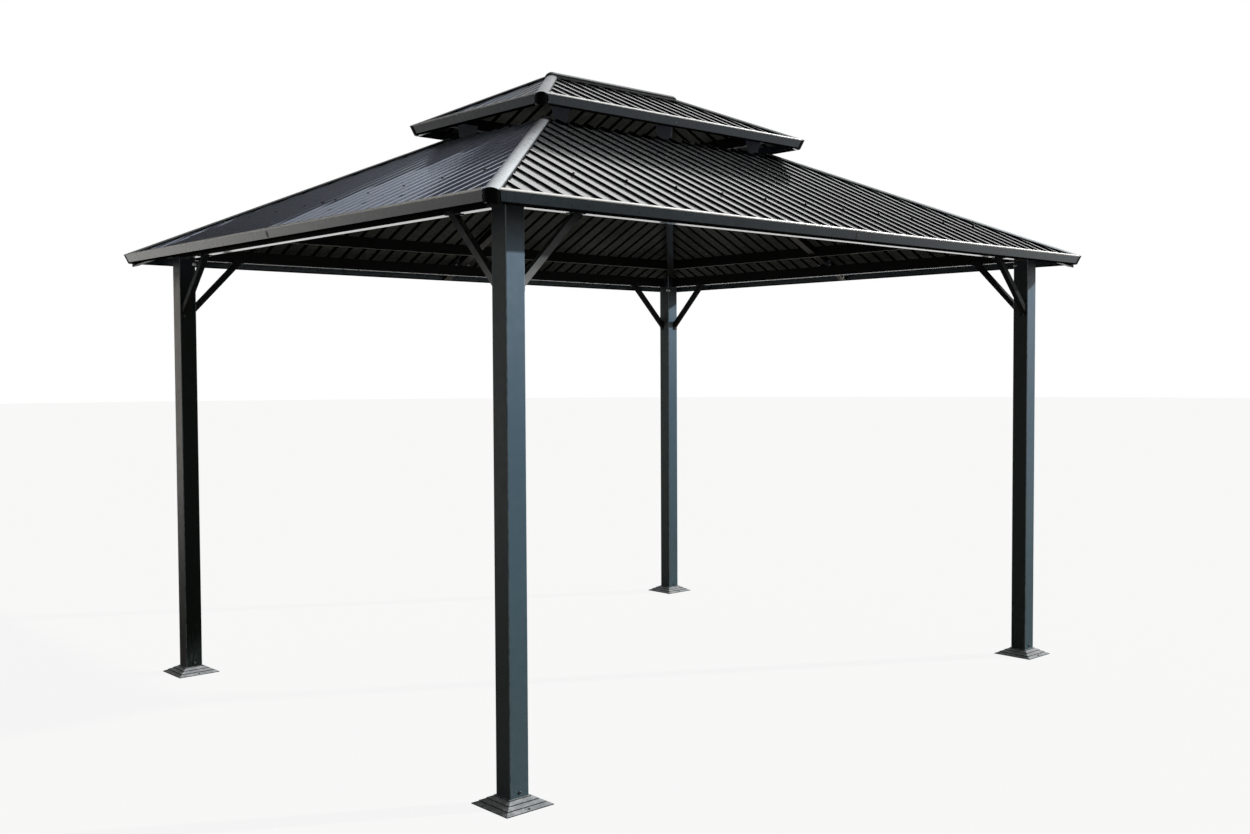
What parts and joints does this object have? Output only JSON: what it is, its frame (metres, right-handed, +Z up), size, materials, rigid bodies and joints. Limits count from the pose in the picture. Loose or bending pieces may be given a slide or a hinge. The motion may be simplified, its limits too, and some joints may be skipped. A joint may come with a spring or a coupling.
{
  "type": "metal gazebo",
  "caption": "Square-post garden gazebo with a two-tier hipped roof of ribbed metal sheet, knee braces and an air gap under the upper roof.",
  "frame": {"origin": "on the ground, at the centre of the plan", "axes": "+X along the long side, +Y along the short side towards the back, +Z up"},
  "size_m": [3.6502, 2.9292, 2.8184],
  "materials": {
    "post_coat": "satin charcoal powder coat",
    "frame_coat": "satin near-black powder coat",
    "roof_coat": "semi-gloss charcoal coil coat on ribbed sheet",
    "trim_coat": "satin charcoal powder coat",
    "cap_coat": "semi-gloss charcoal coat",
    "cover_coat": "satin charcoal coat, dusty"
  },
  "bodies": {
    "root": {"base_covers": "cover_coat", "beam_back": "frame_coat", "beam_front": "frame_coat", "beam_left": "frame_coat", "beam_right": "frame_coat", "eave_trim_back": "trim_coat", "eave_trim_front": "trim_coat", "eave_trim_left": "trim_coat", "eave_trim_right": "trim_coat", "hip_cap_back_left": "cap_coat", "hip_cap_back_right": "cap_coat", "hip_cap_front_left": "cap_coat", "hip_cap_front_right": "cap_coat", "hip_rafter_back_left": "frame_coat", "hip_rafter_back_right": "frame_coat", "hip_rafter_front_left": "frame_coat", "hip_rafter_front_right": "frame_coat", "knee_braces_back_left": "frame_coat", "knee_braces_back_right": "frame_coat", "knee_braces_front_left": "frame_coat", "knee_braces_front_right": "frame_coat", "post_back_left": "post_coat", "post_back_right": "post_coat", "post_front_left": "post_coat", "post_front_right": "post_coat", "purlins": "frame_coat", "ridge_beam": "frame_coat", "ridge_cap": "cap_coat", "roof_panel_back": "roof_coat", "roof_panel_front": "roof_coat", "roof_panel_left": "roof_coat", "roof_panel_right": "roof_coat", "side_rafters": "frame_coat", "upper_eave_trims": "trim_coat", "upper_hip_caps": "cap_coat", "upper_hip_rafters": "frame_coat", "upper_panel_back": "roof_coat", "upper_panel_front": "roof_coat", "upper_panel_left": "roof_coat", "upper_panel_right": "roof_coat", "upper_ring": "frame_coat", "vent_frame": "frame_coat", "vent_struts": "frame_coat"}
  },
  "joints": []
}
